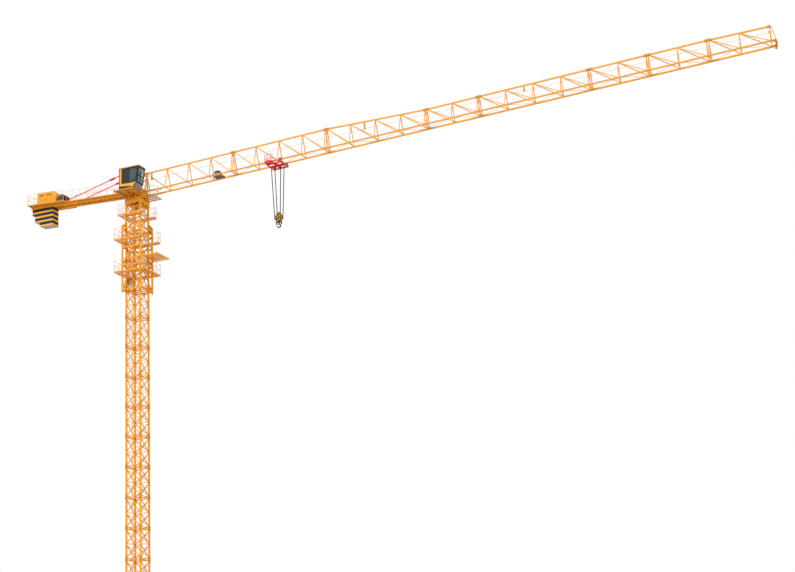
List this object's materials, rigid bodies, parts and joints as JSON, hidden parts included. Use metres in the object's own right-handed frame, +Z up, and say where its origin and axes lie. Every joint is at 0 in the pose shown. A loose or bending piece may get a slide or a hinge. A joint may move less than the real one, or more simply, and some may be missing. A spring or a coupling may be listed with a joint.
{
  "type": "tower crane, 1:2 scale model",
  "caption": "Flat-top tower crane on a lattice mast, with a climbing frame, slewing jib and counter-jib, cab, hanging counterweights, and a trolley that carries a hook on ropes.",
  "frame": {"origin": "centre of the foundation frame's underside, on the ground under the mast", "axes": "+X along the jib, +Z up, -Y the side of the cab"},
  "size_m": [37.1021, 2.1013, 26.5418],
  "materials": {
    "paint_0": "gloss paint",
    "steel_1": "worn steel",
    "paint_2": "satin paint",
    "concrete_3": "painted concrete",
    "paint_4": "gloss paint",
    "glass_5": "tinted",
    "iron_6": "greased iron",
    "iron_7": "painted forging"
  },
  "bodies": {
    "mast": {"foundation_frame": "paint_0", "mast_lower_sections": "paint_0", "mast_middle_sections": "paint_0", "mast_upper_sections": "paint_0", "cylinder_rod": "steel_1"},
    "climbing_frame": {"cage_left_side": "paint_0", "cage_right_side": "paint_0", "cage_back_side": "paint_0", "cage_front_beams": "paint_0", "lower_platform": "paint_0", "upper_platform": "paint_0", "climbing_railings": "paint_0", "introduction_platform": "paint_0", "hydraulic_cylinder": "paint_2", "hydraulic_pump": "paint_2", "transition_section": "paint_0", "transition_platform": "paint_0", "transition_railings": "paint_0", "slewing_support": "paint_0", "slewing_ring": "steel_1"},
    "upper_crane": {"turntable": "paint_0", "slewing_motors": "paint_2", "tower_head": "paint_0", "jib_section_1": "paint_0", "jib_section_2": "paint_0", "jib_section_3": "paint_0", "jib_section_4": "paint_0", "jib_section_5": "paint_0", "jib_section_6": "paint_0", "jib_section_7": "paint_0", "jib_section_8": "paint_0", "trolley_winch": "paint_2", "jib_ropes": "steel_1", "counter_jib_frame": "paint_0", "counter_jib_deck": "paint_0", "counter_jib_railings": "paint_0", "counterweights": "concrete_3", "hoist_winch": "paint_2", "winch_cabinet": "paint_0", "tie_bars": "paint_4", "cab_deck": "paint_0", "cab_shell": "paint_0", "cab_roof": "paint_0", "cab_glazing": "glass_5", "front_platform": "paint_0"},
    "cab_door": {"cab_door": "paint_0"},
    "trolley": {"trolley_frame": "paint_4", "trolley_wheels": "steel_1", "trolley_sheaves": "steel_1", "trolley_basket": "paint_4", "hoist_ropes": "steel_1"},
    "hook_block": {"hook_block": "paint_0", "block_sheaves": "iron_6"},
    "hook": {"hook": "iron_7"}
  },
  "joints": [
    {"name": "climb", "type": "slide", "parent": "mast", "child": "climbing_frame", "axis": [0, 0, 1], "range_m": [0, 1.56]},
    {"name": "slew", "type": "hinge", "parent": "climbing_frame", "child": "upper_crane", "pos_m": [0, 0, 24.36], "axis": [0, 0, 1], "continuous": true},
    {"name": "trolley_travel", "type": "slide", "parent": "upper_crane", "child": "trolley", "axis": [0.9994, 0, 0.0349], "range_m": [-5.615, 22.035]},
    {"name": "hoist", "type": "slide", "parent": "trolley", "child": "hook_block", "axis": [0, 0, 1], "range_m": [-21.5, 2.1], "deforming": ["hoist_ropes"]},
    {"name": "hook_swivel", "type": "hinge", "parent": "hook_block", "child": "hook", "pos_m": [7.93127, 0, 21.9], "axis": [0, 0, 1], "continuous": true},
    {"name": "cab_door_swing", "type": "hinge", "parent": "upper_crane", "child": "cab_door", "pos_m": [-0.326, -1.134, 25.1], "axis": [0, 0, 1], "range_deg": [0, 100]}
  ]
}
